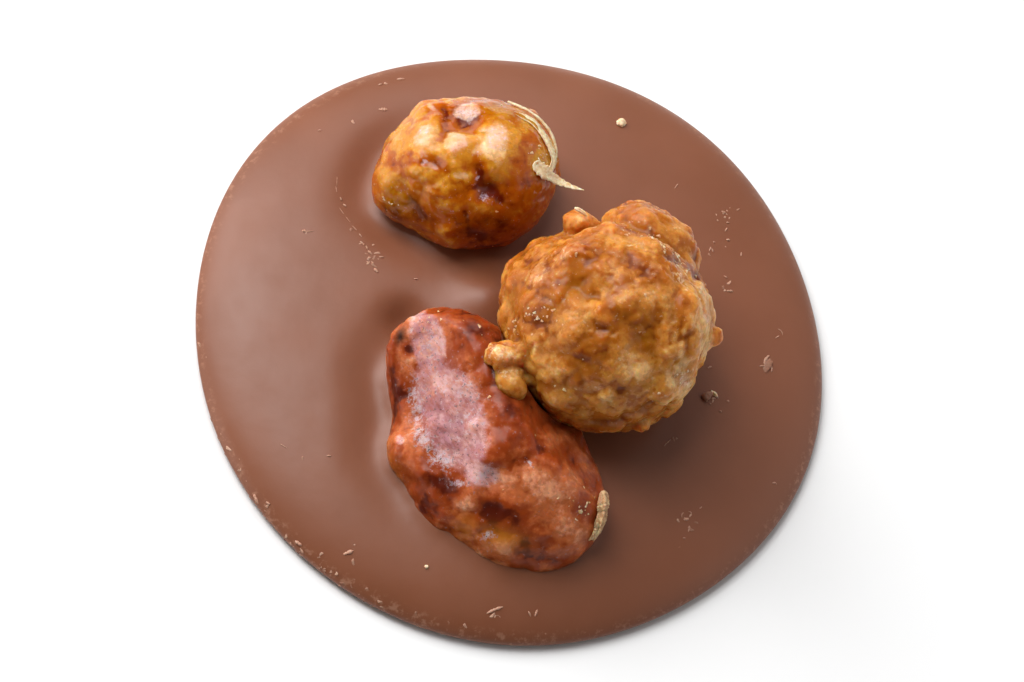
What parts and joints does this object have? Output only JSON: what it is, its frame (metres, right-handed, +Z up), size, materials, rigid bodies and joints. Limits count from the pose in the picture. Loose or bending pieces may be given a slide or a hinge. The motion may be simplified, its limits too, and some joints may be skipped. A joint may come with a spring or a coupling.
{
  "type": "chocolate nut disc",
  "caption": "Thin round disc of milk chocolate, flat underneath and domed on top, with caramel-coated nuts pressed into its face.",
  "frame": {"origin": "centre of the flat underside of the disc", "axes": "+Z up out of the disc's face, +X and +Y across the disc; the small glossy hazelnut lies towards +Y and the almond towards -Y"},
  "size_m": [0.0538, 0.0538, 0.0198],
  "materials": {
    "chocolate": "satin milk chocolate with faint scuffs",
    "red_caramel": "glossy red-brown caramel with a milky lilac bloom on its upper face",
    "amber_caramel": "glossy amber caramel, red-brown in its hollows, with a pale papery flake",
    "golden_caramel": "satin golden-brown caramel crust, craggy and grainy"
  },
  "bodies": {
    "root": {"chocolate_disc": "chocolate", "almond": "red_caramel", "glossy_hazelnut": "amber_caramel", "craggy_hazelnut": "golden_caramel"}
  },
  "joints": []
}
